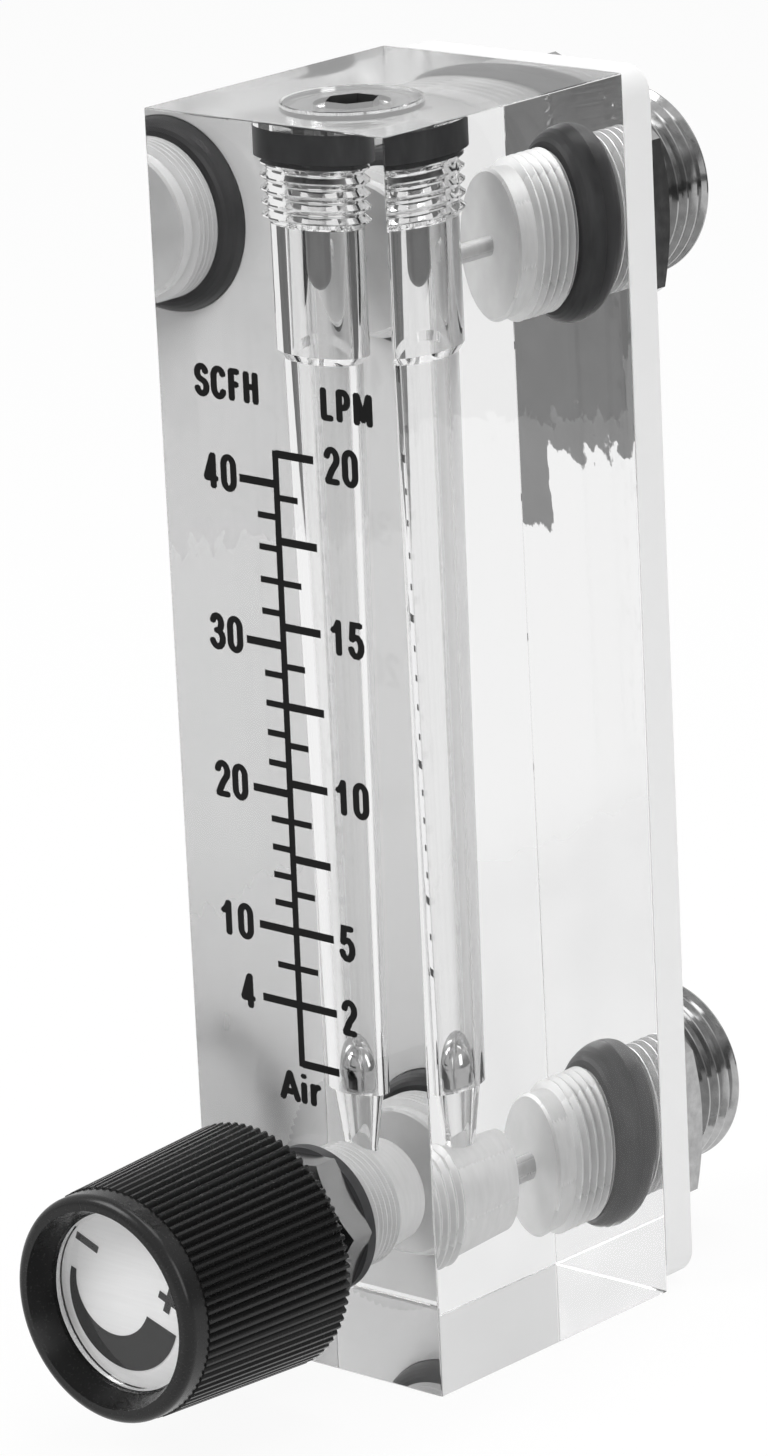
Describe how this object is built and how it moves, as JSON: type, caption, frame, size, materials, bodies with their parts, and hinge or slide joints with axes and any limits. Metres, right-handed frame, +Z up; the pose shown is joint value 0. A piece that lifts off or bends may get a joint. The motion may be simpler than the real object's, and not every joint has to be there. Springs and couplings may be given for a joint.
{
  "type": "oxygen flowmeter",
  "caption": "Clear block gas flowmeter with a tapered metering tube and steel float, a front needle valve with a ribbed knob, and threaded rear ports with panel nuts.",
  "frame": {"origin": "centre of the clear block's flat bottom face", "axes": "+Z up along the metering tube, +Y back towards the panel and the ports, +X right as seen from the front"},
  "size_m": [0.026, 0.0739, 0.107],
  "materials": {
    "clear_acrylic": "polished, clear",
    "opal_acrylic": "satin, opal",
    "black_rubber": "satin",
    "polished_steel": "polished",
    "nickel_plated_brass": "nickel plated",
    "black_plastic": "moulded, satin",
    "dial_plastic": "printed"
  },
  "bodies": {
    "block_assembly": {"metering_block": "clear_acrylic", "back_plate": "opal_acrylic", "top_plug": "clear_acrylic", "top_plug_o_ring": "black_rubber", "valve_body": "nickel_plated_brass", "valve_washer": "black_rubber", "lower_fitting": "nickel_plated_brass", "upper_fitting": "nickel_plated_brass", "lower_fitting_o_ring": "black_rubber", "upper_fitting_o_ring": "black_rubber", "lower_panel_nut": "nickel_plated_brass", "upper_panel_nut": "nickel_plated_brass"},
    "metering_float": {"float": "polished_steel"},
    "stem_seal": {"stem_o_ring": "black_rubber"},
    "valve_spindle": {"valve_stem": "nickel_plated_brass", "knob": "black_plastic", "knob_screw": "polished_steel", "dial_disc": "dial_plastic", "dial_lens": "clear_acrylic"}
  },
  "joints": [
    {"name": "float_rise", "type": "slide", "parent": "block_assembly", "child": "metering_float", "axis": [0, 0, 1], "range_m": [0, 0.064]},
    {"name": "stem_travel", "type": "slide", "parent": "block_assembly", "child": "stem_seal", "axis": [0, -1, 0], "range_m": [0, 0.0032]},
    {"name": "knob_turn", "type": "hinge", "parent": "stem_seal", "child": "valve_spindle", "pos_m": [0, -0.015, 0.0133], "axis": [0, -1, 0], "range_deg": [0, 1440]}
  ],
  "couplings": [
    {"joint": "stem_travel", "follows": "knob_turn", "m_per_rad": 0.00012732}
  ]
}
